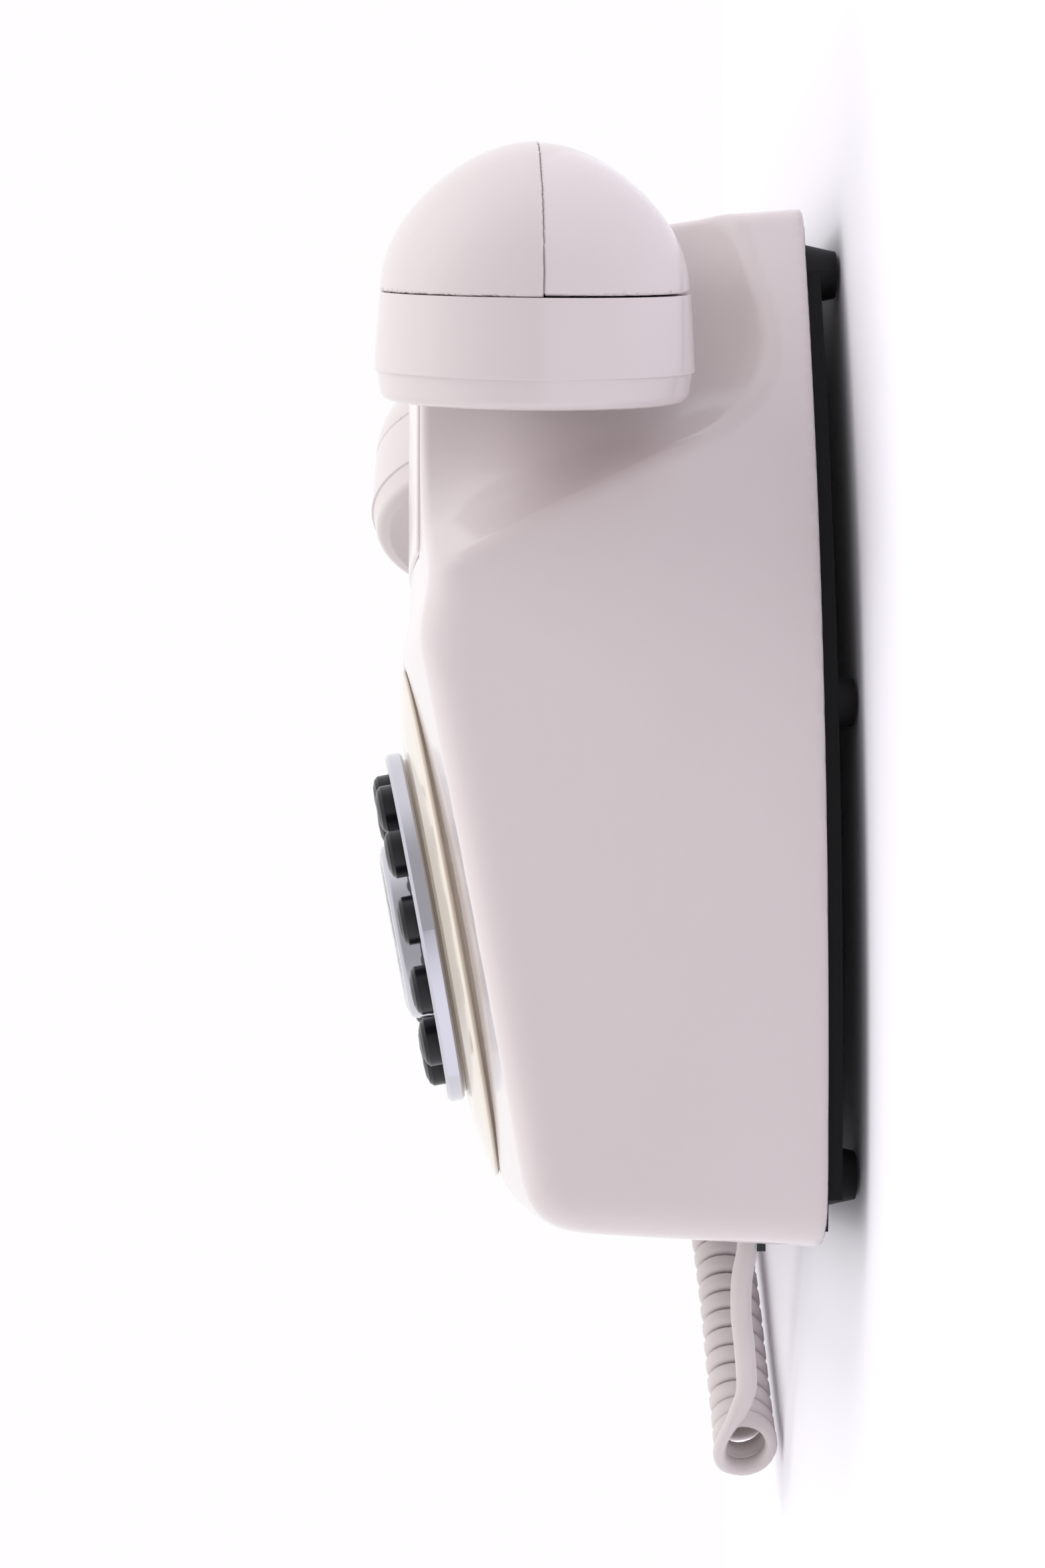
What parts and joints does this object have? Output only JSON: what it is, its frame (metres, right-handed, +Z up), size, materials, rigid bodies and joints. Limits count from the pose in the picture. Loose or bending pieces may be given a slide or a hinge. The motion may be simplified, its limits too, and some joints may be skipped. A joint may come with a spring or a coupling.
{
  "type": "corded landline phone",
  "caption": "Retro wall telephone: sloped ivory body, horizontal handset in side pockets, push buttons in a chrome dial ring, curly cord, black feet.",
  "frame": {"origin": "on the wall plane, midway between the two keyholes of the base plate", "axes": "+Y into the wall, so the front faces -Y; +Z up; +X to the right of a person facing the front"},
  "size_m": [0.2628, 0.0969, 0.2881],
  "materials": {
    "ivory": "glossy ivory moulding",
    "cream": "glossy cream moulding",
    "plunger": "glossy ivory moulding",
    "chrome": "polished plating",
    "black_base": "satin black moulding",
    "black": "black moulding",
    "rubber": "moulded rubber",
    "steel": "plated steel",
    "card": "white card",
    "clear": "clear plastic",
    "board": "green printed board",
    "screen": "woven dust screen",
    "copper": "wound copper wire under tape",
    "brass": "polished bell metal",
    "cord": "soft ivory cord jacket"
  },
  "bodies": {
    "base": {"front_cover": "ivory", "neck_panel": "ivory", "base_plate": "black_base", "feet": "rubber", "base_screws": "steel", "dial_plate": "cream", "bezel": "chrome", "hub": "chrome", "label_card": "card", "label_window": "clear", "hub_clip": "steel", "keypad_mat": "rubber", "keypad_board": "board", "main_board": "board", "board_parts": "black", "board_screws": "steel", "ringer_bracket": "steel", "ringer_coils": "copper", "gong_left": "brass", "gong_right": "brass", "gong_screws": "steel", "hook_bracket": "steel", "hook_switch": "black", "cord_socket": "black", "line_socket": "black", "ringer_switch": "steel", "base_plug": "clear", "cord_tail": "cord", "cord_coil": "cord", "cord_lead": "cord"},
    "handset": {"handset_front": "ivory", "handset_back": "ivory", "ear_cap": "ivory", "mouth_cap": "ivory", "receiver": "steel", "microphone": "steel", "handset_weight": "steel", "handset_socket": "black", "cap_screens": "screen", "handset_plug": "clear"},
    "hook": {"hook_plungers": "plunger"},
    "lever": {"hook_lever": "steel"},
    "clapper": {"clapper": "steel"},
    "ringer_knob": {"ringer_knob": "black"},
    "button_1": {"button_1": "black"},
    "button_2": {"button_2": "black"},
    "button_3": {"button_3": "black"},
    "button_4": {"button_4": "black"},
    "button_5": {"button_5": "black"},
    "button_6": {"button_6": "black"},
    "button_7": {"button_7": "black"},
    "button_8": {"button_8": "black"},
    "button_9": {"button_9": "black"},
    "button_10": {"button_10": "black"},
    "button_11": {"button_11": "black"},
    "button_12": {"button_12": "black"}
  },
  "joints": [
    {"name": "handset_lift", "type": "slide", "parent": "base", "child": "handset", "axis": [0, 0, 1], "range_m": [0, 0.06]},
    {"name": "hook_rise", "type": "slide", "parent": "base", "child": "hook", "axis": [0, 0, 1], "range_m": [0, 0.004]},
    {"name": "lever_turn", "type": "hinge", "parent": "base", "child": "lever", "pos_m": [0, -0.033, 0.062], "axis": [-1, 0, 0], "range_deg": [0, 8]},
    {"name": "clapper_swing", "type": "hinge", "parent": "base", "child": "clapper", "pos_m": [0, -0.0265, -0.0645], "axis": [0, -1, 0], "range_deg": [-18, 18], "stiffness_Nm_per_rad": 0.002},
    {"name": "ringer_slide", "type": "slide", "parent": "base", "child": "ringer_knob", "axis": [1, 0, 0], "range_m": [0, 0.004]},
    {"name": "press_1", "type": "slide", "parent": "base", "child": "button_1", "axis": [0, 0.9833, 0.1822], "range_m": [0, 0.0015], "stiffness_N_per_m": 400},
    {"name": "press_2", "type": "slide", "parent": "base", "child": "button_2", "axis": [0, 0.9833, 0.1822], "range_m": [0, 0.0015], "stiffness_N_per_m": 400},
    {"name": "press_3", "type": "slide", "parent": "base", "child": "button_3", "axis": [0, 0.9833, 0.1822], "range_m": [0, 0.0015], "stiffness_N_per_m": 400},
    {"name": "press_4", "type": "slide", "parent": "base", "child": "button_4", "axis": [0, 0.9833, 0.1822], "range_m": [0, 0.0015], "stiffness_N_per_m": 400},
    {"name": "press_5", "type": "slide", "parent": "base", "child": "button_5", "axis": [0, 0.9833, 0.1822], "range_m": [0, 0.0015], "stiffness_N_per_m": 400},
    {"name": "press_6", "type": "slide", "parent": "base", "child": "button_6", "axis": [0, 0.9833, 0.1822], "range_m": [0, 0.0015], "stiffness_N_per_m": 400},
    {"name": "press_7", "type": "slide", "parent": "base", "child": "button_7", "axis": [0, 0.9833, 0.1822], "range_m": [0, 0.0015], "stiffness_N_per_m": 400},
    {"name": "press_8", "type": "slide", "parent": "base", "child": "button_8", "axis": [0, 0.9833, 0.1822], "range_m": [0, 0.0015], "stiffness_N_per_m": 400},
    {"name": "press_9", "type": "slide", "parent": "base", "child": "button_9", "axis": [0, 0.9833, 0.1822], "range_m": [0, 0.0015], "stiffness_N_per_m": 400},
    {"name": "press_10", "type": "slide", "parent": "base", "child": "button_10", "axis": [0, 0.9833, 0.1822], "range_m": [0, 0.0015], "stiffness_N_per_m": 400},
    {"name": "press_11", "type": "slide", "parent": "base", "child": "button_11", "axis": [0, 0.9833, 0.1822], "range_m": [0, 0.0015], "stiffness_N_per_m": 400},
    {"name": "press_12", "type": "slide", "parent": "base", "child": "button_12", "axis": [0, 0.9833, 0.1822], "range_m": [0, 0.0015], "stiffness_N_per_m": 400}
  ],
  "couplings": [
    {"joint": "hook_rise", "follows": "handset_lift", "ratio": 0.0666},
    {"joint": "lever_turn", "follows": "handset_lift", "rad_per_m": 2}
  ]
}
